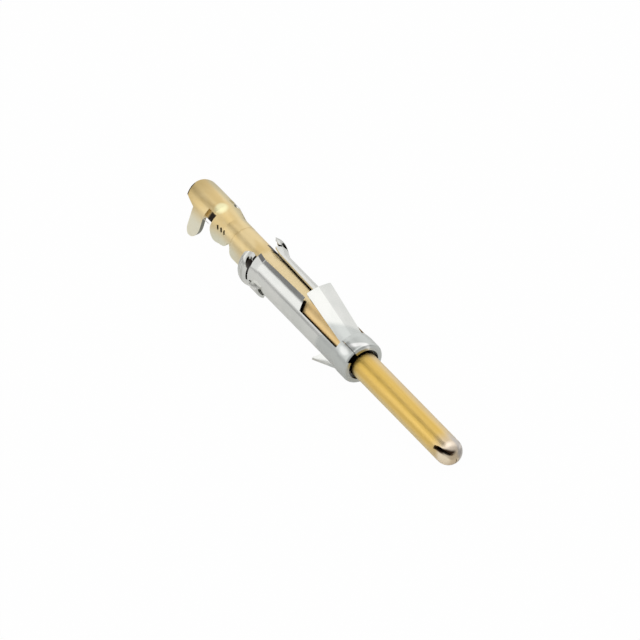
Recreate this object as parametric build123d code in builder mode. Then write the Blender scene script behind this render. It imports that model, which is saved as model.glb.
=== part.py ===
from build123d import *
import os
from math import asin, cos, degrees, radians, sin, tan

# Crimp pin contact, in millimetres.
# It is two stamped and rolled pieces: a plated contact body, and a spring clip around it.
# The axis of the pin is X, with the tip towards +X.
# The origin is on the axis, just in front of the clip's rim, where the bare pin begins.
# The mouths of the wire barrels open down, towards -Z, and the clip's long gap is at the top.
# Lengths named as stations are measured back from the origin, towards -X.

# Contact body: one sheet, rolled into a hollow pin at the front and open barrels behind
sheet = 0.25
pin_r = 0.79
pin_reach = 9.03
pin_seam = 0.04
neck_rise = 0.03
shoulder_start = 0.90
shoulder_length = 0.25

# Slit across the round nose, between the top tongue of the sheet and the curled end below it
slit_reach = 1.09
slit_gap = 0.18
slit_arch = 0.07
slit_dip = 0.25
slit_mouth = 0.30
slit_below_sheet = 0.04
slit_root_r = 0.10

# Open channel behind the clip
channel_r = 0.92
channel_lead = 1.90
channel_step = 1.30
channel_first_foot = 0.05
channel_bare = 1.70
channel_foot = 0.62
channel_corner_r = 0.30

# Conductor barrel, with a neck in front of it and a notch behind it
conductor_r = 0.93
conductor_wrap = 80.0
neck_gap = 0.25
neck_level = 0.10
conductor_length = 1.47
conductor_foot = 0.36
conductor_bottom = 0.90
conductor_rear_level = 0.50
flare_lead = 0.65
flare_length = 1.00
notch_gap = 0.67
notch_level = 0.46

# Groove that carries the notch up both sides of the barrels
groove_from = 33.0
groove_to = 66.0
groove_floor_r = 0.98

# Insulation barrel, its splayed wings, and the tongue behind them
insulation_r = 1.17
insulation_length = 1.03
insulation_wrap = 72.0
wing_length = 1.49
wing_lean = 0.72
wing_front_level = -0.21
wing_rear_level = -0.59
tongue_length = 1.04
tongue_level = 0.54
tongue_rear_level = 0.84
tongue_corner = 0.62

# Serrations inside the conductor barrel, and the leaning marks they leave outside
serration_first = 0.48
serration_count = 3
serration_pitch = 0.26
serration_width = 0.10
serration_depth = 0.06
mark_angle = 57.0
mark_length = 0.28
mark_width = 0.11
mark_depth = 0.09
mark_lean = 35.0

# Spring clip: one thinner sheet, rolled into a sleeve
clip_sheet = 0.15
sleeve_r = 1.24
slip_clearance = 0.10
clip_length = 10.30

# Collar in front, a little wider than the sleeve, with a seam and a curled lip
rim_setback = 0.05
curl_r = 0.20
lip_depth = 0.33
collar_rise = 0.06
collar_length = 1.00
collar_step = 0.50
collar_seam = 0.03
collar_seam_angle = 27.0
lip_gap_angle = 58.0
lip_gap_rest = 0.08
lip_gap_length = 0.42

# Windows above and below, and the gap along the top behind the upper one
window_start = 1.32
window_length = 3.61
window_angle = 52.0
panel_slant = 0.35
gap_front_half = 0.37
gap_rear_half = 0.48

# Tines bent up and down out of the windows. The upper one has a ridge along its middle
upper_short = 0.43
upper_rise = 1.18
upper_side = 0.18
upper_ridge = 5.0
lower_short = 0.78
lower_rise = 1.26
lower_side = 0.28
lower_ridge = 0.0
tine_curve_r = 8.00
tine_corner_r = 0.08
tine_overlap = 0.05
tine_root_half = 0.70

# Rear end: side panels, then a slot with an eye, then two arms that flare outwards
arm_length = 0.83
slot_width = 0.11
slot_angle = 100.0
eye_r = 0.20
eye_inset = 0.08
eye_back = 0.18
rim_rise = 0.34
rim_angle = 22.0
rim_bend_r = 0.60
rim_turn = 0.30
arm_gap_angle = 38.7
arm_corner_angle = 57.0
arm_corner_length = 0.57

# Ears pressed outwards low on each side, with a relief hole at the upper rear corner
ear_length = 0.70
ear_rear_lead = 1.00
ear_rise = 0.26
ear_from = 99.0
ear_to = 142.0
ear_side_angle = 6.0
ear_hole_r = 0.08

# Clip: stations and radii that follow from the sizes above
sleeve_inner_r = sleeve_r - clip_sheet
collar_r = sleeve_r + collar_rise
rim_hole_r = collar_r - lip_depth
lip_gap_r = collar_r - lip_gap_rest
window_end = window_start + window_length
window_half = sleeve_r * sin(radians(window_angle))
tine_root_r = collar_r - collar_rise * (window_start - collar_length) / collar_step
panel_end = clip_length - arm_length
slot_low = sleeve_r * cos(radians(slot_angle))
eye_half = sleeve_r - eye_inset
rim_peak = clip_length - rim_turn
rim_straight = rim_rise / sin(radians(rim_angle)) - 2 * rim_bend_r * tan(radians(rim_angle / 2))
rim_run = rim_straight * cos(radians(rim_angle)) + 2 * rim_bend_r * sin(radians(rim_angle))
rim_start = rim_peak - rim_run
arm_gap_half = sleeve_r * sin(radians(arm_gap_angle))
arm_gap_rear_half = sleeve_r * sin(radians(arm_corner_angle))
ear_rear = clip_length - ear_rear_lead
ear_front = ear_rear - ear_length
ear_r = sleeve_r + ear_rise

# Body: stations and radii that follow from the sizes above
body_r = sleeve_inner_r - slip_clearance
neck_r = pin_r + neck_rise
nose_start = pin_reach - pin_r
slit_start = pin_reach - slit_reach
slit_top = pin_r - sheet - slit_below_sheet
slit_crest = pin_reach - slit_reach / 2
slit_end = slit_top - slit_dip
shoulder_end = shoulder_start + shoulder_length
tube_end = clip_length - channel_lead
step_end = tube_end + channel_step
channel_end = clip_length + channel_bare
conductor_front = channel_end + neck_gap
conductor_rear = conductor_front + conductor_length
flare_front = conductor_front + flare_lead
flare_rear = flare_front + flare_length
insulation_front = conductor_rear + notch_gap
insulation_rear = insulation_front + insulation_length
body_rear = insulation_rear + tongue_length
conductor_low = conductor_front + conductor_bottom
wing_low = insulation_front + wing_lean
wing_tip = insulation_r * cos(radians(insulation_wrap)) - wing_length * sin(radians(insulation_wrap))
well_past = 2 * (insulation_r + wing_length)


def on_circle(radius, angle):
    """Point of a section, at an angle from the top towards +Y."""
    return Vector(radius * sin(radians(angle)), radius * cos(radians(angle)))


def open_section(radius, wrap, wall):
    """Section of the body's sheet: an arc over the top, straight walls, and an open mouth below."""
    outer = on_circle(radius, wrap)
    inner = on_circle(radius - sheet, wrap)
    run = Vector(cos(radians(wrap)), -sin(radians(wrap))) * wall
    right = [outer, outer + run, inner + run, inner]
    left = [Vector(-point.X, point.Y) for point in right]
    with BuildSketch(Plane.XY) as section:
        with BuildLine():
            ThreePointArc(left[0], (0, radius), right[0])
            Polyline(*right)
            ThreePointArc(right[3], (0, radius - sheet), left[3])
            Polyline(*reversed(left))
        make_face()
    return section.sketch


def tine_section(radius, crown, half, ridge):
    """Section of one half of a tine: an arc of the clip's sheet out from the crown, with a ridge there or none."""
    tilt = radians(ridge)
    side = asin(half / radius + sin(tilt))
    inner_start = asin(radius * sin(tilt) / (radius - clip_sheet))
    centre = Vector(-radius * sin(tilt), crown - radius * cos(tilt))
    outer = [centre + on_circle(radius, degrees(angle)) for angle in (tilt, (tilt + side) / 2, side)]
    inner = [
        centre + on_circle(radius - clip_sheet, degrees(angle))
        for angle in (side, (inner_start + side) / 2, inner_start)
    ]
    with BuildSketch(Plane.XY) as section:
        with BuildLine():
            ThreePointArc(*outer)
            Line(outer[2], inner[0])
            ThreePointArc(*inner)
            Line(inner[2], outer[0])
        make_face()
    return section.sketch


def sector(radius, start, end):
    """Pie slice of a section, between two angles from the top towards +Y."""
    with BuildSketch(Plane.XY) as slice_face:
        with BuildLine():
            Line((0, 0), on_circle(radius, start))
            ThreePointArc(
                on_circle(radius, start),
                on_circle(radius, (start + end) / 2),
                on_circle(radius, end),
            )
            Line(on_circle(radius, end), (0, 0))
        make_face()
    return slice_face.sketch


def body_profile(inset):
    """Half profile of the rolled pin, drawn the given depth inside its outer surface."""
    with BuildSketch(Plane.XY) as profile:
        with BuildLine():
            CenterArc((nose_start, 0), pin_r - inset, 0, 90)
            Polyline(
                (nose_start, pin_r - inset),
                (0, pin_r - inset),
                (-shoulder_start, neck_r - inset),
                (-shoulder_end, body_r - inset),
                (-tube_end, body_r - inset),
                (-tube_end, 0),
                (pin_reach - inset, 0),
            )
        make_face()
    return profile.sketch


def clip_profile(inset):
    """Half profile of the rolled clip, drawn the given depth inside its outer surface."""
    turn = degrees(asin(rim_turn / (rim_bend_r - inset)))
    peak_centre = sleeve_r + rim_rise - rim_bend_r
    with BuildSketch(Plane.XY) as profile:
        with BuildLine():
            Line((-rim_setback, 0), (-rim_setback, rim_hole_r))
            if inset:
                Line((-rim_setback, rim_hole_r), (-rim_setback - inset, rim_hole_r))
            Line((-rim_setback - inset, rim_hole_r), (-rim_setback - inset, collar_r - curl_r))
            CenterArc((-rim_setback - curl_r, collar_r - curl_r), curl_r - inset, 0, 90)
            Polyline(
                (-rim_setback - curl_r, collar_r - inset),
                (-collar_length, collar_r - inset),
                (-collar_length - collar_step, sleeve_r - inset),
                (-rim_start, sleeve_r - inset),
            )
            rise = CenterArc((-rim_start, sleeve_r + rim_bend_r), rim_bend_r + inset, -90, -rim_angle)
            peak = CenterArc((-rim_peak, peak_centre), rim_bend_r - inset, 90 - rim_angle, rim_angle + turn)
            Line(rise @ 1, peak @ 0)
            Polyline(peak @ 1, (-clip_length, 0), (-rim_setback, 0))
        make_face()
    return profile.sketch


def barrel_r_at(station):
    """Outer radius of the barrels at a station, through the flare."""
    share = max(0, min(1, (station - flare_front) / flare_length))
    return conductor_r + share * (insulation_r - conductor_r)


channel_wide = open_section(body_r, 90, channel_first_foot)
channel_narrow = open_section(channel_r, 90, channel_foot)
conductor_section = open_section(conductor_r, conductor_wrap, channel_foot)
flared_section = open_section(insulation_r, conductor_wrap, channel_foot)
insulation_section = open_section(insulation_r, insulation_wrap, wing_length)
pin_outside = body_profile(0)
pin_inside = body_profile(sheet)
serrations = [conductor_front + serration_first + i * serration_pitch for i in range(serration_count)]

with BuildPart() as contact_body:
    # Hollow pin, nose and shoulder
    with BuildSketch(Plane.XZ):
        add(pin_outside)
    revolve(axis=Axis.X)
    with BuildSketch(Plane.XZ):
        add(pin_inside)
    revolve(axis=Axis.X, mode=Mode.SUBTRACT)

    # Open channel and conductor barrel, flaring into the insulation barrel
    with BuildSketch(Plane.YZ.offset(-tube_end)):
        add(channel_wide)
    with BuildSketch(Plane.YZ.offset(-step_end)):
        add(channel_narrow)
    loft()
    with BuildSketch(Plane.YZ.offset(-step_end)):
        add(channel_narrow)
    extrude(amount=-(channel_end - step_end))
    with BuildSketch(Plane.YZ.offset(-channel_end)):
        add(conductor_section)
    extrude(amount=-(flare_front - channel_end))
    with BuildSketch(Plane.YZ.offset(-flare_front)):
        add(conductor_section)
    with BuildSketch(Plane.YZ.offset(-flare_rear)):
        add(flared_section)
    loft()
    with BuildSketch(Plane.YZ.offset(-flare_rear)):
        add(insulation_section)
    extrude(amount=-(body_rear - flare_rear))

    # What the blank lacks below the walls, seen from the side, from the channel's corner back
    with BuildSketch(Plane.XZ):
        with BuildLine():
            Line((channel_corner_r - channel_end, -well_past), (channel_corner_r - channel_end, -channel_foot))
            TangentArc(
                (channel_corner_r - channel_end, -channel_foot),
                (-channel_end, channel_corner_r - channel_foot),
                tangent=(-1, 0),
            )
            Line((-channel_end, channel_corner_r - channel_foot), (-channel_end, neck_level))
            ThreePointArc(
                (-channel_end, neck_level),
                (-channel_end - neck_gap / 2, neck_level + neck_gap / 2),
                (-conductor_front, neck_level),
            )
            EllipticalCenterArc(
                (-conductor_low, neck_level), conductor_bottom, neck_level + conductor_foot, 270, arc_size=90
            )
            EllipticalCenterArc(
                (-conductor_low, conductor_rear_level),
                conductor_rear - conductor_low,
                conductor_rear_level + conductor_foot,
                180,
                arc_size=90,
            )
            Polyline(
                (-conductor_rear, conductor_rear_level),
                (-conductor_rear, notch_level),
                (-insulation_front, notch_level),
                (-insulation_front, wing_front_level),
            )
            EllipticalCenterArc(
                (-wing_low, wing_front_level), wing_lean, wing_front_level - wing_tip, 270, arc_size=90
            )
            EllipticalCenterArc(
                (-wing_low, wing_rear_level),
                insulation_rear - wing_low,
                wing_rear_level - wing_tip,
                180,
                arc_size=90,
            )
            Polyline(
                (-insulation_rear, wing_rear_level),
                (-insulation_rear, tongue_level),
                (-body_rear, tongue_rear_level),
                (-body_rear - sheet, tongue_rear_level),
                (-body_rear - sheet, -well_past),
                (channel_corner_r - channel_end, -well_past),
            )
        make_face()
    extrude(amount=well_past, both=True, mode=Mode.SUBTRACT)

    # Groove above the notch, on both sides
    with BuildSketch(Plane.YZ.offset(-insulation_front)):
        for side in (-1, 1):
            add(sector(well_past, side * groove_from, side * groove_to))
        Circle(groove_floor_r, mode=Mode.SUBTRACT)
    extrude(amount=notch_gap, mode=Mode.SUBTRACT)

    # Rounded end of the tongue, seen from above
    with BuildSketch(Plane.XY):
        with Locations((-body_rear, 0)):
            Rectangle(2 * tongue_corner, 2 * well_past)
        with Locations((tongue_corner - body_rear, 0)):
            Ellipse(tongue_corner, insulation_r, mode=Mode.SUBTRACT)
    extrude(amount=well_past, mode=Mode.SUBTRACT)

    # Seam along the underside of the rolled pin
    with BuildSketch(Plane.XY):
        with Locations(((pin_reach - tube_end) / 2, 0)):
            Rectangle(pin_reach + tube_end, pin_seam)
    extrude(amount=-well_past, mode=Mode.SUBTRACT)

    # Slit across the nose, arched like the tongue above it, with a wide mouth and a round root
    with BuildSketch(Plane.XZ):
        with BuildLine():
            ThreePointArc((slit_start, slit_top), (slit_crest, slit_top + slit_arch), (pin_reach, slit_end))
            Line((pin_reach, slit_end), (pin_reach, slit_end - slit_mouth))
            ThreePointArc(
                (pin_reach, slit_end - slit_mouth),
                (slit_crest, slit_top + slit_arch - slit_gap),
                (slit_start, slit_top - slit_gap),
            )
            Line((slit_start, slit_top - slit_gap), (slit_start, slit_top))
        make_face()
        with Locations((slit_start, slit_top - slit_gap / 2)):
            Circle(slit_root_r)
    extrude(amount=pin_r, both=True, mode=Mode.SUBTRACT)

    # Serrations round the inside of the conductor barrel
    for station in serrations:
        with BuildSketch(Plane.YZ.offset(-station)):
            Circle(barrel_r_at(station) - sheet + serration_depth)
        extrude(amount=-serration_width, mode=Mode.SUBTRACT)

    # Their marks on the outside of both walls
    for station in serrations:
        for side in (-1, 1):
            at = on_circle(barrel_r_at(station), side * mark_angle)
            mark_plane = Plane(origin=(-station, at.X, at.Y), x_dir=(1, 0, 0), z_dir=(0, at.X, at.Y))
            with BuildSketch(mark_plane):
                SlotOverall(mark_length, mark_width, rotation=90 - side * mark_lean)
            extrude(amount=-mark_depth, both=True, mode=Mode.SUBTRACT)
contact_body.part.label = "contact_body"

clip_outside = clip_profile(0)
clip_inside = clip_profile(clip_sheet)
tines = (
    (1, window_end - upper_short, sleeve_r + upper_rise, window_half - upper_side, upper_ridge),
    (-1, window_end - lower_short, sleeve_r + lower_rise, window_half - lower_side, lower_ridge),
)
seam_half_angle = degrees(asin(collar_seam / 2 / sleeve_r))
seam_slice = sector(ear_r, -collar_seam_angle - seam_half_angle, -collar_seam_angle + seam_half_angle)
lip_slice = sector(lip_gap_r, -lip_gap_angle, -collar_seam_angle)
ear_outside = sector(ear_r, ear_from, ear_to)
ear_inside = sector(ear_r - clip_sheet, ear_from + ear_side_angle, ear_to - ear_side_angle)

with BuildPart() as retention_clip:
    # Sleeve with its curled front rim and flared rear rim
    with BuildSketch(Plane.XZ):
        add(clip_outside)
    revolve(axis=Axis.X)

    # Ears, as thick blocks that are hollowed further down
    for side in (-1, 1):
        with BuildSketch(Plane.YZ.offset(-ear_front)):
            add(ear_outside if side > 0 else mirror(ear_outside, Plane.YZ, mode=Mode.PRIVATE))
        extrude(amount=-(ear_rear - ear_front))
    with BuildSketch(Plane.XZ):
        add(clip_inside)
    revolve(axis=Axis.X, mode=Mode.SUBTRACT)
    for side in (-1, 1):
        with BuildSketch(Plane.YZ.offset(-ear_front)):
            add(ear_inside if side > 0 else mirror(ear_inside, Plane.YZ, mode=Mode.PRIVATE))
        extrude(amount=-(ear_rear - ear_front), mode=Mode.SUBTRACT)

    # Relief hole at the upper rear corner of each ear
    for side in (-1, 1):
        at = on_circle(sleeve_r, side * ear_from)
        with BuildSketch(Plane(origin=(-ear_rear, at.X, at.Y), x_dir=(1, 0, 0), z_dir=(0, at.X, at.Y))):
            Circle(ear_hole_r)
        extrude(amount=-2 * clip_sheet, both=True, mode=Mode.SUBTRACT)

    # Windows above and below
    with BuildSketch(Plane.XY):
        with Locations((-(window_start + window_end) / 2, 0)):
            Rectangle(window_end - window_start, 2 * window_half)
    extrude(amount=well_past, both=True, mode=Mode.SUBTRACT)

    # Gap along the top, between slanted panel ends in front and the arms behind, and the eyes
    with BuildSketch(Plane.XY):
        for side in (-1, 1):
            with BuildLine():
                Polyline(
                    (-window_end, 0),
                    (-window_end, side * window_half),
                    (-window_end - panel_slant, side * gap_front_half),
                    (-panel_end, side * gap_rear_half),
                    (-panel_end, side * arm_gap_half),
                    (arm_corner_length - clip_length, side * arm_gap_half),
                    (-clip_length, side * arm_gap_rear_half),
                    (-clip_length, 0),
                    (-window_end, 0),
                )
            make_face()
            with Locations((-panel_end - eye_back, side * eye_half)):
                Circle(eye_r)
    extrude(amount=well_past, mode=Mode.SUBTRACT)

    # Slot between the panels and the arms, from the top gap down to both ears
    with BuildSketch(Plane.XZ):
        with Locations((-panel_end - slot_width / 2, slot_low + well_past / 2)):
            Rectangle(slot_width, well_past)
    extrude(amount=well_past, both=True, mode=Mode.SUBTRACT)

    # Seam of the collar beside the upper tine, and the gap in the curled lip there
    with BuildSketch(Plane.YZ.offset(-window_start)):
        add(seam_slice)
    extrude(amount=window_start, mode=Mode.SUBTRACT)
    with BuildSketch(Plane.YZ.offset(-lip_gap_length)):
        add(lip_slice)
    extrude(amount=lip_gap_length, mode=Mode.SUBTRACT)

    # Tines, each made of one half above the axis and its mirror image
    for side, end, height, half, ridge in tines:
        with BuildPart(mode=Mode.PRIVATE) as tine:
            with BuildSketch(Plane.YZ.offset(tine_overlap - window_start)):
                add(tine_section(tine_root_r, tine_root_r, tine_root_half, 0))
            with BuildSketch(Plane.YZ.offset(-end)):
                add(tine_section(tine_curve_r, height, half, ridge))
            loft()
            end_edges = tine.faces().sort_by(Axis.X)[0].edges()
            fillet(end_edges.filter_by(lambda edge: edge.length < 2 * clip_sheet).sort_by(Axis.Y)[-1], tine_corner_r)
            mirror(about=Plane.XZ)
        add(tine.part if side > 0 else mirror(tine.part, Plane.XY, mode=Mode.PRIVATE))
retention_clip.part.label = "retention_clip"

os.makedirs("parts", exist_ok=True)
export_step(contact_body.part, "parts/contact_body.step")
export_step(retention_clip.part, "parts/retention_clip.step")
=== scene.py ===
import math

import bpy
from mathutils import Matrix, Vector

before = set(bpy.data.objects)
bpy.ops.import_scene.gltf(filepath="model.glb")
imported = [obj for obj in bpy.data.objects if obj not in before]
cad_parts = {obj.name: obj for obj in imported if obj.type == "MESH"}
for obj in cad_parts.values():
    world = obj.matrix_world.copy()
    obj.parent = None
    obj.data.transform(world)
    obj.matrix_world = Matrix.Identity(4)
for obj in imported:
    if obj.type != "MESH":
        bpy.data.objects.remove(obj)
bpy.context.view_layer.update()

# Looks of a crimp pin contact: a gold plated body and a bright steel spring clip.
#
# In the part's frame +X runs along the pin to its tip, +Z goes up through the upper tine, and
# -Y is the camera's side. Places and lengths are in millimetres unless a name or a comment says
# otherwise, and everything handed to Blender is in metres.
#
# A pair of numbers under one name is a soft step, from the first to the second, or the values
# before and after one. A trio is a band: its two ends, and how soft they are. A spot is a centre
# and two half lengths in x and y, a fade from its border inwards, and a step in z. SIDE is the
# distance from the middle plane, and FACING is how far the surface faces along the part.

MM = 0.001
WHITE = (1, 1, 1, 1)

# Camera, at the photograph's viewing angle in degrees
CAMERA_AZIMUTH = 56.1
CAMERA_ELEVATION = 43.3
CAMERA_DISTANCE = 1000.0
CAMERA_TARGET_X = -4.35
CAMERA_CLIP_M = (0.01, 5.0)
SENSOR = 36.0
FRAME_WIDTH = 35.3

# The floor touches the underside of the nose and the free end of the lower tine
NOSE_TOUCH_X, NOSE_TOUCH_Z = 8.34, -0.79
TINE_TOUCH_X, TINE_TOUCH_Z = -4.15, -2.50
FLOOR_HALF_M = 1.5
FLOOR_COLOUR = (0.78, 0.78, 0.76, 1)
FLOOR_ROUGHNESS = 0.9
FLOOR_SPECULAR = 0.1

# How much of the floor is plain white to the camera and in the metal, over its own shading
FLOOR_WHITE_TO_CAMERA = 0.98
FLOOR_WHITE_TO_METAL = 0.25

# Brightness of the light tent's parts, where 1 is white
ROOF = 1.28
REAR_WALL = 1.25
FAR_WALL = 0.98
FAR_REAR = 0.78
TOP_REAR = 1.05
DARK_OPENING = 0.27
NEAR_WALL = 1.14
NEAR_WALL_AHEAD = 0.95
FRONT = 0.52
SKIRTING = 0.48

# Borders of the tent's parts: the X of the direction that light comes from, ...
BEHIND_X = (-0.20, -0.42)
IN_FRONT_X = (0.05, 0.45)
REAR_WALL_X = (-0.72, -0.82)
# ... and its turn in degrees about the part's axis, from straight up towards the camera's side
FAR_TURN = (-60, -25)
TOP_REAR_TURN = (-14, -6)
OPENING_TURN = (2, 8)
NEAR_TURN = (34, 40)
FAR_TO_TOP_TURN = (-20, -14)
TOP_TO_OPENING_TURN = (-2, 2)
OPENING_TO_NEAR_TURN = (30, 34)
ROOF_TURN = (-38, -14)
NEAR_AHEAD_TURN = (8, 30)
SKIRTING_TURN, SKIRTING_AWAY = 90, (12, 4)

# Slit in the nose, with painted shade in it and on its lips: its arch falls off with the square of
# the distance from the crest
SLIT_CREST_X, SLIT_CREST_Z = 8.50, 0.48
SLIT_BEND_BEHIND, SLIT_BEND_AHEAD = 0.28, 0.80
SLIT_BEND_STEP = (-0.01, 0.01)
SLIT_X = (7.84, 8.93, 0.06)
SLIT_NEAR_Y = (0.15, -0.10)
SLIT_REACH_X, SLIT_REACH = (7.9, 8.8), (0.09, 0.13)
SLIT_EDGE = (-0.04, 0.04)

# The clip's upper window and gap, and the slanted front edges of the panels beside the gap
WINDOW_FRONT_X, WINDOW_HALF = -1.32, 0.98
GAP_FRONT_X, GAP_FRONT_HALF = -4.93, 0.37
GAP_REAR_X, GAP_REAR_HALF = -9.47, 0.48
PANEL_SLANT = 0.58

# Shade of the clip on the body
GAP_SHADE_X = (GAP_REAR_X, GAP_FRONT_X + 0.16, 0.05)
GAP_SHADE_PAST = (-0.06, 0.0)
WINDOW_SHADE_X = (GAP_FRONT_X + 0.1, WINDOW_FRONT_X, 0.05)
WINDOW_SHADE_SIDE = (WINDOW_HALF - 0.24, WINDOW_HALF - 0.18)
WINDOW_SHADE_CORNER, WINDOW_SHADE_SLOPE = (-1.7, -2.0), -1.0
EYE_SHADE_X = (-10.33, GAP_REAR_X, 0.04)
EYE_SHADE_SIDE = (0.45, 0.55)
RIM_SHADE_X = (-1.0, -0.02, 0.06)

# Barrels: outer radius in front of the flare and behind it, notch, painted shade in the groove and
# the marks, and a painted near-white line at the notch's lower edge
FLARE_FRONT_X, CONDUCTOR_R = -12.90, 0.93
FLARE_REAR_X, INSULATION_R = -13.90, 1.17
NOTCH_FRONT_X, NOTCH_REAR_X, NOTCH_LEVEL_Z = -13.72, -14.39, 0.46
GROOVE_X = (NOTCH_REAR_X + 0.15, NOTCH_FRONT_X, 0.09)
GROOVE_NEAR_Y = (-0.45, -0.60)
GROOVE_Z = (0.30, 0.40)
GROOVE_R = (1.12, 1.08)
# Painted light: a near-white line along the notch's lower edge
NOTCH_EDGE_LIGHT_X = (NOTCH_REAR_X, NOTCH_FRONT_X, 0.02)
NOTCH_EDGE_LIGHT_SIDE = (0.96, 1.0)
NOTCH_EDGE_LIGHT_Z = (NOTCH_LEVEL_Z - 0.02, NOTCH_LEVEL_Z + 0.05, 0.01)
MARKS_X = (-13.70, -12.55, 0.05)
MARKS_SIDE = (0.55, 0.65)
MARKS_Z = (0.15, 0.25)
MARKS_DEPTH = (0.035, 0.16, 0.015)
MARKS_SHARE = 0.8

# Tongue: the ellipse of its rounded corners, and the painted shade line along them
TONGUE_CORNER_X, TONGUE_CORNER_LENGTH = -15.84, 0.62
TONGUE_LINE = (0.80, 0.90)
TONGUE_LINE_X = (TONGUE_CORNER_X, TONGUE_CORNER_X - 0.2)
TONGUE_LINE_NEAR_Y = (-0.15, -0.35)
TONGUE_LINE_Z = (0.30, 0.50)

# Zones of the plating, from the tip to the tongue
NOSE_X = (7.2, 8.4)
# Near and far sides of the nose, for its painted light and painted shade
NOSE_NEAR_Y = (-0.25, -0.50)
NOSE_FAR_Y = (0.0, 0.35)
NEAR_LIP_X = (8.05, 8.45)
# Painted highlight on the nose: a paler spot above the slit
NOSE_HIGHLIGHT_SPOT, NOSE_HIGHLIGHT_SHARE = ((8.60, -0.08), (0.42, 0.42), (1.0, 0.1), (0.3, 0.5)), 0.8
# Far and low sides of the shaft, which get painted light
SHAFT_FAR_Y = (0.0, 0.40)
SHAFT_LOW_Z = (0.30, -0.10)
BODY_X = (0.2, -1.2)
REAR_X = (-4.5, -6.0)
IN_GAP_X = (-9.7, -5.0, 0.3)
# Low sides of the barrels, painted paler as light falls on them from below
LOW_X = (-9.0, -12.5)
LOW_Z = (0.75, -0.20)
# Painted shade along the far edge of the barrels
FAR_EDGE_X = (-11.0, -13.0)
FAR_EDGE_Y = (0.30, 0.65)
FAR_EDGE_SHARE = 0.6
# Painted highlight on the flare's shoulder
FLARE_HIGHLIGHT_SPOT = ((FLARE_REAR_X - 0.03, -0.15), (0.42, 0.50), (1.0, 0.15), (0.5, 0.7))
WING_X = (-13.9, -14.3)
CUT_EDGE_X = (-14.2, -14.3)
CUT_EDGE_Z = (0.45, 0.35)
CUT_EDGE_FACING = (0.45, 0.75)
TONGUE_X = (-14.7, -16.5)
TONGUE_Z = (-0.1, 0.4)

# Colours of the plating
SHAFT_DEEP, SHAFT_LIGHT = (0.79, 0.53, 0.12, 1), (0.86, 0.59, 0.17, 1)
# Painted light and shade: the shaft's far side duller, its low side paler
SHAFT_FAR_LIGHT = (0.76, 0.58, 0.30, 1)
SHAFT_LOW_LIGHT = (0.84, 0.67, 0.33, 1)
NOSE_TOP = (0.78, 0.63, 0.43, 1)
# Painted shade: the nose's far side is greyer
NOSE_FAR_SHADE = (0.56, 0.52, 0.48, 1)
# Painted light on the nose's near side, olive behind and bright towards the tip
NEAR_LIP_LIGHT_REAR, NEAR_LIP_LIGHT_FRONT = (0.70, 0.54, 0.30, 1), (0.98, 0.84, 0.63, 1)
# Painted highlight on the nose
NOSE_PAINTED_HIGHLIGHT = (0.98, 0.85, 0.71, 1)
MIDDLE_DEEP, MIDDLE_LIGHT = (0.78, 0.54, 0.24, 1), (0.88, 0.65, 0.32, 1)
REAR_DEEP, REAR_LIGHT = (0.76, 0.57, 0.26, 1), (0.84, 0.67, 0.36, 1)
IN_GAP = (0.86, 0.70, 0.41, 1)
TONGUE = (0.60, 0.45, 0.20, 1)
# Painted light: paler low sides of the barrels
LOW_FRONT_LIGHT, LOW_WING_LIGHT = (0.82, 0.80, 0.64, 1), (0.90, 0.86, 0.69, 1)
# Painted shade along the far edge of the barrels
FAR_EDGE_SHADE = (0.56, 0.53, 0.36, 1)
# Painted highlight on the flare's shoulder
FLARE_PAINTED_HIGHLIGHT = (0.98, 0.92, 0.56, 1)
# Painted light: a near-white line along the notch's lower edge
NOTCH_EDGE_LIGHT = (1.0, 0.99, 0.96, 1)
# Front cut faces of the wings: bare cut metal, made darker with painted shade
CUT_EDGE_AND_SHADE = (0.26, 0.26, 0.22, 1)
# Painted shade in recesses: beside the clip's edges, in the notch's groove and marks, and along the
# tongue's end
RECESS_SHADE = (0.012, 0.006, 0.002, 1)
# Painted shade in and beside the slit
SLIT_SHADE = (0.040, 0.018, 0.005, 1)

# Finish of the plating
STREAKS = (0.35, 0.65)
CLOUDS = (0.35, 0.65)
SATIN_CLOUDS, SATIN_ROUGHNESS = (0.3, 0.7), (0.36, 0.44)
NOSE_ROUGHNESS = 0.30
COAT_WEIGHT, COAT_ROUGHNESS = 0.25, 0.30
GRAIN_STRENGTH, GRAIN_HEIGHT = 0.25, 0.01

# Zones of the clip: collar with painted highlights on its shoulder and flank, flared rim, and
# painted shade on the slots' walls and at a panel's corner
COLLAR_X, COLLAR_SLOPE = (-2.15, -1.75), 0.8
SHOULDER_X, SHOULDER_SLOPE = (-0.50, -0.20, 0.08), 0.6
SHOULDER_Y = (-0.50, 0.40, 0.12)
SHOULDER_Z = (0.5, 0.7)
FLANK_SPOT, FLANK_SHARE = ((-0.72, -0.84), (0.45, 0.21), (1.0, 0.2), (0.2, 0.4)), 0.5
RIM_X = (-9.75, -9.90)
RIM_RINGS = (0.42, 0.60)
SLOT_X = (-9.62, -9.43, 0.03)
SLOT_FACING = (0.80, 0.95)
CORNER_X = (-9.70, -9.045, 0.015)
CORNER_Y = (-0.69, -0.15, 0.03)
CORNER_Z = (0.7, 0.8)

# Colours of the clip
STRIP_DEEP, STRIP_LIGHT = (0.71, 0.72, 0.69, 1), (0.78, 0.78, 0.75, 1)
COLLAR = (0.59, 0.61, 0.59, 1)
# Painted highlight on the collar's shoulder and flank
STEEL_PAINTED_HIGHLIGHT = (1.0, 1.0, 0.98, 1)
RIM_RING = (0.48, 0.48, 0.45, 1)
# Painted shade at the near panel's rear corner and on the walls of the slots
PANEL_CORNER_SHADE = (0.16, 0.16, 0.16, 1)
SLOT_WALL_SHADE = (0.04, 0.04, 0.04, 1)

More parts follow.
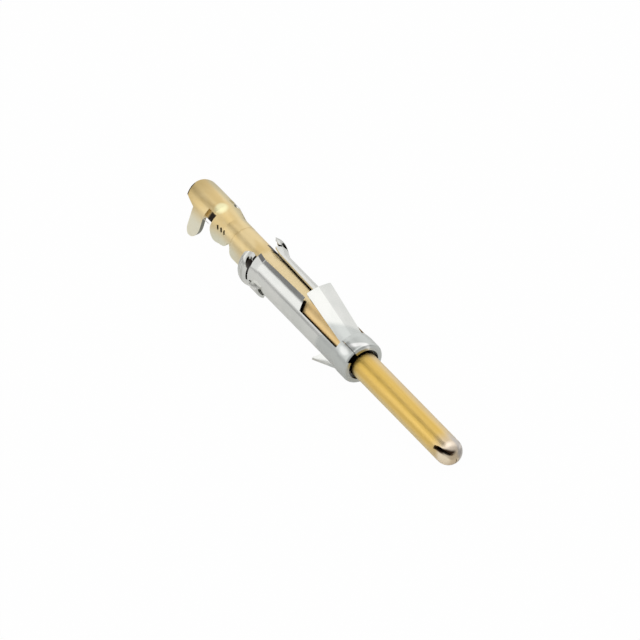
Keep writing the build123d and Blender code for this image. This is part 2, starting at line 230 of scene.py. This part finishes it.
# Finish of the clip
STRIP_CLOUDS, STRIP_ROUGHNESS = (0.3, 0.7), (0.13, 0.20)
COLLAR_ROUGHNESS = 0.28
RING_STRENGTH, RING_HEIGHT = 0.6, 0.03
LINE_STRENGTH, LINE_HEIGHT = 0.2, 0.008


def node(tree, kind, inputs=None, **settings):
    """Adds a shader node, sets its properties, and links or sets its inputs."""
    made = tree.nodes.new(kind)
    for name, value in settings.items():
        setattr(made, name, value)
    for name, value in (inputs or {}).items():
        if isinstance(value, bpy.types.NodeSocket):
            tree.links.new(value, made.inputs[name])
        else:
            made.inputs[name].default_value = value
    return made


def math_node(tree, operation, first, second=0.0):
    """Result of one sum on two numbers or sockets."""
    return node(tree, "ShaderNodeMath", {0: first, 1: second}, operation=operation).outputs[0]


def ramp(tree, value, start, end, low, high, kind="LINEAR"):
    """Change from low to high as a value goes from start to end."""
    ends = {"Value": value, "From Min": start, "From Max": end, "To Min": low, "To Max": high}
    made = node(tree, "ShaderNodeMapRange", ends, interpolation_type=kind)
    return made.outputs["Result"]


def smooth_step(tree, value, start, end, low=0.0, high=1.0):
    """Smooth change from low to high as a value goes from start to end."""
    return ramp(tree, value, start, end, low, high, "SMOOTHSTEP")


def blend(tree, factor, first, second):
    """Number between two numbers or sockets."""
    return node(tree, "ShaderNodeMix", {0: factor, 2: first, 3: second}).outputs[0]


def mix_colour(tree, factor, first, second):
    """Colour between two colours or sockets."""
    made = node(tree, "ShaderNodeMix", {0: factor, 6: first, 7: second}, data_type="RGBA")
    return made.outputs[2]


def paint(tree, colour, *layers):
    """A colour under layers, each of which is a mask and its own colour."""
    for mask, over in layers:
        colour = mix_colour(tree, mask, colour, over)
    return colour


def product(tree, *factors):
    """All the factors multiplied together."""
    result = factors[0]
    for factor in factors[1:]:
        result = math_node(tree, "MULTIPLY", result, factor)
    return result


def larger(tree, *values):
    """The largest of the values."""
    result = values[0]
    for value in values[1:]:
        result = math_node(tree, "MAXIMUM", result, value)
    return result


def sum_of_squares(tree, first, second):
    """Sum of the squares of two values."""
    return math_node(tree, "ADD", product(tree, first, first), product(tree, second, second))


def place_in_mm(tree):
    """Place on the object, in millimetres, and its three numbers."""
    scaled = node(
        tree,
        "ShaderNodeVectorMath",
        {0: node(tree, "ShaderNodeTexCoord").outputs["Object"], 1: (1 / MM, 1 / MM, 1 / MM)},
        operation="MULTIPLY",
    ).outputs[0]
    parts = node(tree, "ShaderNodeSeparateXYZ", {0: scaled})
    return scaled, parts.outputs[0], parts.outputs[1], parts.outputs[2]


def facing_x(tree):
    """How far the surface faces along the part: 1 towards the tip, and -1 towards the tongue."""
    normal = node(tree, "ShaderNodeTexCoord").outputs["Normal"]
    return node(tree, "ShaderNodeSeparateXYZ", {0: normal}).outputs[0]


def noise(tree, place, stretch, scale, detail=3.0):
    """Noise over the object, stretched by a factor along each axis."""
    stretched = node(
        tree, "ShaderNodeVectorMath", {0: place, 1: stretch}, operation="MULTIPLY"
    ).outputs[0]
    made = node(tree, "ShaderNodeTexNoise", {"Vector": stretched, "Scale": scale, "Detail": detail})
    return made.outputs["Fac"]


def inside(tree, value, start, end, soft):
    """1 where a value lies between start and end, and 0 outside, with soft borders."""
    return product(
        tree,
        smooth_step(tree, value, start - soft, start + soft),
        smooth_step(tree, value, end + soft, end - soft),
    )


def leaning(tree, x, y, slope):
    """Place along the part less y times a slope, for a border that leans."""
    return math_node(tree, "SUBTRACT", x, math_node(tree, "MULTIPLY", y, slope))


def ellipse(tree, x, y, centre, half):
    """0 at the centre of an ellipse, 1 on its border, and more outside."""
    along = math_node(tree, "DIVIDE", math_node(tree, "SUBTRACT", x, centre[0]), half[0])
    across = math_node(tree, "DIVIDE", math_node(tree, "SUBTRACT", y, centre[1]), half[1])
    return sum_of_squares(tree, along, across)


def spot(tree, x, y, z, centre, half, fade, height):
    """Soft round place on the upper side: 1 in its middle, and 0 outside."""
    around = ellipse(tree, x, y, centre, half)
    return product(tree, smooth_step(tree, around, *fade), smooth_step(tree, z, *height))


def bump(tree, relief, strength, height, under=None):
    """Normal of a surface with relief of a height in millimetres, over another normal if given."""
    inputs = {"Strength": strength, "Distance": height * MM, "Height": relief}
    if under is not None:
        inputs["Normal"] = under
    return node(tree, "ShaderNodeBump", inputs).outputs[0]


def metal(name):
    """New metallic material: itself, its tree and its shader."""
    material = bpy.data.materials.new(name)
    material.use_nodes = True
    tree = material.node_tree
    shader = tree.nodes["Principled BSDF"]
    shader.inputs["Metallic"].default_value = 1.0
    return material, tree, shader


def nose_slit_shade(tree, x, y, z):
    """The slit in the nose, and painted shade in it and on its dark lips, on the camera's side."""
    past_crest = math_node(tree, "SUBTRACT", x, SLIT_CREST_X)
    ahead = smooth_step(tree, past_crest, *SLIT_BEND_STEP)
    bend = blend(tree, ahead, SLIT_BEND_BEHIND, SLIT_BEND_AHEAD)
    drop = product(tree, bend, past_crest, past_crest)
    level = math_node(tree, "SUBTRACT", SLIT_CREST_Z, drop)
    away = math_node(tree, "ABSOLUTE", math_node(tree, "SUBTRACT", z, level))
    reach = smooth_step(tree, x, *SLIT_REACH_X, *SLIT_REACH)
    depth = math_node(tree, "SUBTRACT", reach, away)
    return product(
        tree,
        smooth_step(tree, depth, *SLIT_EDGE),
        smooth_step(tree, y, *SLIT_NEAR_Y),
        inside(tree, x, *SLIT_X),
    )


def under_the_clip(tree, x, y):
    """Dark bands on the body beside the clip's edges, where the clip shades it."""
    side = math_node(tree, "ABSOLUTE", y)
    gap_half = smooth_step(tree, x, GAP_FRONT_X, GAP_REAR_X, GAP_FRONT_HALF, GAP_REAR_HALF)
    past_gap = math_node(tree, "SUBTRACT", side, gap_half)
    inwards = math_node(tree, "SUBTRACT", WINDOW_HALF, side)
    beside_gap = product(
        tree,
        smooth_step(tree, past_gap, *GAP_SHADE_PAST),
        inside(tree, leaning(tree, x, inwards, -PANEL_SLANT), *GAP_SHADE_X),
    )
    beside_window = product(
        tree,
        smooth_step(tree, side, *WINDOW_SHADE_SIDE),
        inside(tree, x, *WINDOW_SHADE_X),
        smooth_step(tree, leaning(tree, x, y, WINDOW_SHADE_SLOPE), *WINDOW_SHADE_CORNER),
    )
    below_eye = product(
        tree, smooth_step(tree, side, *EYE_SHADE_SIDE), inside(tree, x, *EYE_SHADE_X)
    )
    behind_rim = inside(tree, x, *RIM_SHADE_X)
    return larger(tree, beside_gap, beside_window, below_eye, behind_rim)


def barrel_recess_shade(tree, x, y, z):
    """Painted shade on the floors of the notch's groove and of the serration marks."""
    side = math_node(tree, "ABSOLUTE", y)
    radius = math_node(tree, "POWER", sum_of_squares(tree, y, z), 0.5)
    groove_shade = product(
        tree,
        inside(tree, x, *GROOVE_X),
        smooth_step(tree, y, *GROOVE_NEAR_Y),
        smooth_step(tree, z, *GROOVE_Z),
        smooth_step(tree, radius, *GROOVE_R),
    )
    outer = ramp(tree, x, FLARE_FRONT_X, FLARE_REAR_X, CONDUCTOR_R, INSULATION_R)
    mark_shade = product(
        tree,
        inside(tree, math_node(tree, "SUBTRACT", outer, radius), *MARKS_DEPTH),
        inside(tree, x, *MARKS_X),
        smooth_step(tree, side, *MARKS_SIDE),
        smooth_step(tree, z, *MARKS_Z),
        MARKS_SHARE,
    )
    return larger(tree, groove_shade, mark_shade)


def notch_edge_light(tree, x, y, z):
    """Painted light: a near-white line along the lower edge of the notch's groove."""
    return product(
        tree,
        inside(tree, x, *NOTCH_EDGE_LIGHT_X),
        smooth_step(tree, math_node(tree, "ABSOLUTE", y), *NOTCH_EDGE_LIGHT_SIDE),
        inside(tree, z, *NOTCH_EDGE_LIGHT_Z),
    )


def tongue_edge_shade(tree, x, y, z):
    """Painted shade: a dark line along the tongue's rounded end, on the camera's side."""
    corner, half = (TONGUE_CORNER_X, 0.0), (TONGUE_CORNER_LENGTH, INSULATION_R)
    return product(
        tree,
        smooth_step(tree, ellipse(tree, x, y, corner, half), *TONGUE_LINE),
        smooth_step(tree, x, *TONGUE_LINE_X),
        smooth_step(tree, y, *TONGUE_LINE_NEAR_Y),
        smooth_step(tree, z, *TONGUE_LINE_Z),
    )


def pin_colour(tree, x, y, z, streaks, nose):
    """Gold shaft, with painted light that makes it duller on its far side and paler below, and a
    greyer nose, with painted shade on its far side, painted light on its near side and a painted
    highlight.
    """
    shaft = paint(
        tree,
        mix_colour(tree, smooth_step(tree, streaks, *STREAKS), SHAFT_DEEP, SHAFT_LIGHT),
        (smooth_step(tree, y, *SHAFT_FAR_Y), SHAFT_FAR_LIGHT),
        (smooth_step(tree, z, *SHAFT_LOW_Z), SHAFT_LOW_LIGHT),
    )
    near_lip_light = mix_colour(tree, smooth_step(tree, x, *NEAR_LIP_X), NEAR_LIP_LIGHT_REAR, NEAR_LIP_LIGHT_FRONT)
    tip = paint(
        tree,
        NOSE_TOP,
        (smooth_step(tree, y, *NOSE_NEAR_Y), near_lip_light),
        (smooth_step(tree, y, *NOSE_FAR_Y), NOSE_FAR_SHADE),
        (product(tree, spot(tree, x, y, z, *NOSE_HIGHLIGHT_SPOT), NOSE_HIGHLIGHT_SHARE), NOSE_PAINTED_HIGHLIGHT),
    )
    return mix_colour(tree, nose, shaft, tip)


def body_colour(tree, x, z, clouds):
    """Plating behind the pin: warm in the middle, pale in the clip's gap, dark on the tongue."""
    cloudy = smooth_step(tree, clouds, *CLOUDS)
    middle = mix_colour(tree, cloudy, MIDDLE_DEEP, MIDDLE_LIGHT)
    rear = mix_colour(tree, cloudy, REAR_DEEP, REAR_LIGHT)
    tongue = product(tree, smooth_step(tree, x, *TONGUE_X), smooth_step(tree, z, *TONGUE_Z))
    return paint(
        tree,
        middle,
        (smooth_step(tree, x, *REAR_X), rear),
        (inside(tree, x, *IN_GAP_X), IN_GAP),
        (tongue, TONGUE),
    )


def gold_plating():
    """Satin gold on the pin, a greyer nose, and a paler plating on the rest of the sheet, under
    painted light, shade and highlights.
    """
    material, tree, shader = metal("gold_plating")
    place, x, y, z = place_in_mm(tree)
    streaks = noise(tree, place, stretch=(0.10, 4.0, 4.0), scale=1.0)
    clouds = noise(tree, place, stretch=(0.5, 1.0, 1.0), scale=1.3)
    grain = noise(tree, place, stretch=(1.0, 14.0, 14.0), scale=2.0, detail=4.0)
    nose = smooth_step(tree, x, *NOSE_X)

    # Painted light on the low sides of the barrels
    low = product(tree, smooth_step(tree, x, *LOW_X), smooth_step(tree, z, *LOW_Z))
    low_side_light = mix_colour(tree, smooth_step(tree, x, *WING_X), LOW_FRONT_LIGHT, LOW_WING_LIGHT)
    # Painted shade along the barrels' far edge
    far_edge_shade = product(
        tree, smooth_step(tree, x, *FAR_EDGE_X), smooth_step(tree, y, *FAR_EDGE_Y), FAR_EDGE_SHARE
    )
    # Bare cut faces at the wings' front, darkened further with painted shade
    cut_edge_and_shade = product(
        tree,
        smooth_step(tree, facing_x(tree), *CUT_EDGE_FACING),
        smooth_step(tree, x, *CUT_EDGE_X),
        smooth_step(tree, z, *CUT_EDGE_Z),
    )
    # Painted shade in recesses
    recess_shade = larger(
        tree,
        under_the_clip(tree, x, y),
        barrel_recess_shade(tree, x, y, z),
        tongue_edge_shade(tree, x, y, z),
    )
    colour = paint(
        tree,
        pin_colour(tree, x, y, z, streaks, nose),
        (smooth_step(tree, x, *BODY_X), body_colour(tree, x, z, clouds)),
        (low, low_side_light),
        (far_edge_shade, FAR_EDGE_SHADE),
        # Painted highlight on the flare's shoulder
        (spot(tree, x, y, z, *FLARE_HIGHLIGHT_SPOT), FLARE_PAINTED_HIGHLIGHT),
        # Painted near-white line at the notch's lower edge
        (notch_edge_light(tree, x, y, z), NOTCH_EDGE_LIGHT),
        (cut_edge_and_shade, CUT_EDGE_AND_SHADE),
        (recess_shade, RECESS_SHADE),
        (nose_slit_shade(tree, x, y, z), SLIT_SHADE),
    )
    tree.links.new(colour, shader.inputs["Base Color"])

    satin = smooth_step(tree, clouds, *SATIN_CLOUDS, *SATIN_ROUGHNESS)
    tree.links.new(blend(tree, nose, satin, NOSE_ROUGHNESS), shader.inputs["Roughness"])
    shader.inputs["Coat Weight"].default_value = COAT_WEIGHT
    shader.inputs["Coat Roughness"].default_value = COAT_ROUGHNESS
    grained = bump(tree, grain, GRAIN_STRENGTH, GRAIN_HEIGHT)
    tree.links.new(grained, shader.inputs["Normal"])
    return material


def spring_steel():
    """Bright rolled strip with fine lines: duller round the collar, and ringed at the rim, with
    painted highlights on the collar and painted shade at a panel's corner and in the slots.
    """
    material, tree, shader = metal("spring_steel")
    place, x, y, z = place_in_mm(tree)
    lines = noise(tree, place, stretch=(0.6, 18.0, 18.0), scale=2.0, detail=4.0)
    rings = noise(tree, place, stretch=(9.0, 0.8, 0.8), scale=1.0, detail=2.0)
    clouds = noise(tree, place, stretch=(0.5, 1.0, 1.0), scale=1.1)
    cloudy = smooth_step(tree, clouds, *STRIP_CLOUDS)
    collar = smooth_step(tree, leaning(tree, x, y, COLLAR_SLOPE), *COLLAR_X)
    at_rim = smooth_step(tree, x, *RIM_X)

    # Painted highlights on the collar's front shoulder and on its flank
    shoulder_highlight = product(
        tree,
        inside(tree, leaning(tree, x, y, SHOULDER_SLOPE), *SHOULDER_X),
        inside(tree, y, *SHOULDER_Y),
        smooth_step(tree, z, *SHOULDER_Z),
    )
    flank_highlight = product(tree, spot(tree, x, y, z, *FLANK_SPOT), FLANK_SHARE)
    ringed = product(tree, at_rim, smooth_step(tree, rings, *RIM_RINGS))
    # Painted shade at the near panel's rear corner and on the slots' walls
    panel_corner_shade = product(
        tree,
        inside(tree, x, *CORNER_X),
        inside(tree, y, *CORNER_Y),
        smooth_step(tree, z, *CORNER_Z),
    )
    slot_wall_shade = product(
        tree,
        smooth_step(tree, math_node(tree, "ABSOLUTE", facing_x(tree)), *SLOT_FACING),
        inside(tree, x, *SLOT_X),
    )
    colour = paint(
        tree,
        mix_colour(tree, cloudy, STRIP_DEEP, STRIP_LIGHT),
        (collar, COLLAR),
        (larger(tree, shoulder_highlight, flank_highlight), STEEL_PAINTED_HIGHLIGHT),
        (ringed, RIM_RING),
        (panel_corner_shade, PANEL_CORNER_SHADE),
        (slot_wall_shade, SLOT_WALL_SHADE),
    )
    tree.links.new(colour, shader.inputs["Base Color"])

    rolled = smooth_step(tree, clouds, *STRIP_CLOUDS, *STRIP_ROUGHNESS)
    tree.links.new(blend(tree, collar, rolled, COLLAR_ROUGHNESS), shader.inputs["Roughness"])
    wavy = bump(tree, product(tree, at_rim, rings), RING_STRENGTH, RING_HEIGHT)
    lined = bump(tree, lines, LINE_STRENGTH, LINE_HEIGHT, under=wavy)
    tree.links.new(lined, shader.inputs["Normal"])
    return material


def dress(name, material):
    """Gives a node its material."""
    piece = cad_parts[name]
    piece.data.materials.clear()
    piece.data.materials.append(material)


def back_vector(azimuth, elevation):
    """Direction from the target to a viewer, from angles in degrees. Azimuth 0 looks along +Y."""
    a, e = math.radians(azimuth), math.radians(elevation)
    return Vector((math.sin(a) * math.cos(e), -math.cos(a) * math.cos(e), math.sin(e)))


def add_camera():
    """Camera far from the part, with a long lens, as in the photograph."""
    data = bpy.data.cameras.new("camera")
    data.type = "PERSP"
    data.sensor_width = SENSOR
    data.lens = SENSOR * CAMERA_DISTANCE / FRAME_WIDTH
    data.clip_start, data.clip_end = CAMERA_CLIP_M
    camera = bpy.data.objects.new("camera", data)
    bpy.context.scene.collection.objects.link(camera)
    back = back_vector(CAMERA_AZIMUTH, CAMERA_ELEVATION)
    camera.location = Vector((CAMERA_TARGET_X, 0, 0)) * MM + back * CAMERA_DISTANCE * MM
    camera.rotation_mode = "QUATERNION"
    camera.rotation_quaternion = (-back).to_track_quat("-Z", "Y")
    bpy.context.scene.camera = camera


def add_floor():
    """Pale floor through the two places where the part touches it."""
    rise = math.atan2(NOSE_TOUCH_Z - TINE_TOUCH_Z, NOSE_TOUCH_X - TINE_TOUCH_X)
    mesh = bpy.data.meshes.new("floor")
    h = FLOOR_HALF_M
    mesh.from_pydata([(-h, -h, 0), (h, -h, 0), (h, h, 0), (-h, h, 0)], [], [(0, 1, 2, 3)])
    floor = bpy.data.objects.new("floor", mesh)
    bpy.context.scene.collection.objects.link(floor)
    floor.location = (TINE_TOUCH_X * MM, 0, TINE_TOUCH_Z * MM)
    floor.rotation_euler = (0, -rise, 0)
    material = bpy.data.materials.new("floor")
    material.use_nodes = True
    tree = material.node_tree
    shader = tree.nodes["Principled BSDF"]
    shader.inputs["Base Color"].default_value = FLOOR_COLOUR
    shader.inputs["Roughness"].default_value = FLOOR_ROUGHNESS
    shader.inputs["Specular IOR Level"].default_value = FLOOR_SPECULAR
    white = node(tree, "ShaderNodeEmission", {"Color": WHITE, "Strength": 1.0})
    rays = node(tree, "ShaderNodeLightPath").outputs
    share = math_node(
        tree,
        "ADD",
        math_node(tree, "MULTIPLY", rays["Is Camera Ray"], FLOOR_WHITE_TO_CAMERA),
        math_node(tree, "MULTIPLY", rays["Is Glossy Ray"], FLOOR_WHITE_TO_METAL),
    )
    mixed = node(
        tree, "ShaderNodeMixShader", {0: share, 1: shader.outputs[0], 2: white.outputs[0]}
    )
    tree.links.new(mixed.outputs[0], tree.nodes["Material Output"].inputs["Surface"])
    floor.data.materials.append(material)


def add_world():
    """Light tent round the part, which the camera sees as plain white.

    Its roof and walls are white. High at the rear, on the camera's side, there is a dark
    opening, and the front and a low strip on the camera's side are dull.
    """
    world = bpy.data.worlds.new("tent")
    bpy.context.scene.world = world
    world.use_nodes = True
    tree = world.node_tree
    direction = node(tree, "ShaderNodeTexCoord").outputs["Generated"]
    x, y, z = node(tree, "ShaderNodeSeparateXYZ", {0: direction}).outputs[:]
    towards_camera = math_node(tree, "MULTIPLY", y, -1.0)
    turn = math_node(
        tree, "MULTIPLY", math_node(tree, "ARCTAN2", towards_camera, z), 180 / math.pi
    )

    far = smooth_step(tree, turn, *FAR_TURN, FAR_WALL, FAR_REAR)
    top = smooth_step(tree, turn, *TOP_REAR_TURN, FAR_REAR, TOP_REAR)
    opening = smooth_step(tree, turn, *OPENING_TURN, TOP_REAR, DARK_OPENING)
    near = smooth_step(tree, turn, *NEAR_TURN, DARK_OPENING, NEAR_WALL)
    rear = blend(tree, smooth_step(tree, turn, *FAR_TO_TOP_TURN), far, top)
    rear = blend(tree, smooth_step(tree, turn, *TOP_TO_OPENING_TURN), rear, opening)
    rear = blend(tree, smooth_step(tree, turn, *OPENING_TO_NEAR_TURN), rear, near)

    roof = smooth_step(tree, turn, *ROOF_TURN, FAR_WALL, ROOF)
    above = blend(tree, smooth_step(tree, turn, *NEAR_AHEAD_TURN), roof, NEAR_WALL_AHEAD)
    from_side = math_node(tree, "ABSOLUTE", math_node(tree, "SUBTRACT", turn, SKIRTING_TURN))
    level = blend(tree, smooth_step(tree, x, *BEHIND_X), above, rear)
    level = blend(tree, smooth_step(tree, x, *IN_FRONT_X), level, FRONT)
    level = blend(tree, smooth_step(tree, x, *REAR_WALL_X), level, REAR_WALL)
    level = blend(tree, smooth_step(tree, from_side, *SKIRTING_AWAY), level, SKIRTING)

    tent = tree.nodes["Background"]
    tent.inputs["Color"].default_value = WHITE
    tree.links.new(level, tent.inputs["Strength"])
    white = node(tree, "ShaderNodeBackground", {"Color": WHITE, "Strength": 1.0})
    to_camera = node(tree, "ShaderNodeLightPath").outputs["Is Camera Ray"]
    mixed = node(
        tree, "ShaderNodeMixShader", {0: to_camera, 1: tent.outputs[0], 2: white.outputs[0]}
    )
    tree.links.new(mixed.outputs[0], tree.nodes["World Output"].inputs["Surface"])


dress("contact_body", gold_plating())
dress("retention_clip", spring_steel())
add_camera()
add_floor()
add_world()
bpy.context.scene.view_settings.view_transform = "Standard"
